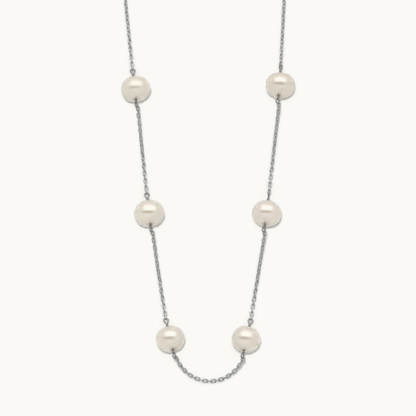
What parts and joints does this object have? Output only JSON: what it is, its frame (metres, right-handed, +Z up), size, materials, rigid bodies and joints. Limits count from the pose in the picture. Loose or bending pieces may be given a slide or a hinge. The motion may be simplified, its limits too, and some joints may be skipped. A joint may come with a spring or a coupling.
{
  "type": "pearl station necklace",
  "caption": "Fine cable chain necklace with near-round cream pearls spaced along it on looped wires and a clasp at the back; worn round the neck, lies flat at rest.",
  "frame": {"origin": "on the surface that the necklace lies on, under the middle of its overall box", "axes": "+Y from the lowest pearls to the clasp at the back, +X to the right seen from above, +Z up from the surface"},
  "size_m": [0.0569, 0.202, 0.0086],
  "materials": {
    "pearl": "cream nacre, glossy with a soft lustre",
    "silver": "rhodium-plated sterling silver, polished"
  },
  "bodies": {
    "root": {"pearl_1": "pearl", "pearl_2": "pearl", "pearl_3": "pearl", "pearl_4": "pearl", "pearl_5": "pearl", "pearl_6": "pearl", "eye_wire_1": "silver", "eye_wire_2": "silver", "eye_wire_3": "silver", "eye_wire_4": "silver", "eye_wire_5": "silver", "eye_wire_6": "silver", "chain_left_upper": "silver", "chain_left_lower": "silver", "chain_right_upper": "silver", "chain_right_lower": "silver", "chain_bottom": "silver", "chain_left_shoulder": "silver", "chain_right_shoulder": "silver", "chain_left_back": "silver", "chain_right_back": "silver", "jump_ring_left": "silver", "jump_ring_right": "silver", "clasp": "silver"}
  },
  "joints": []
}
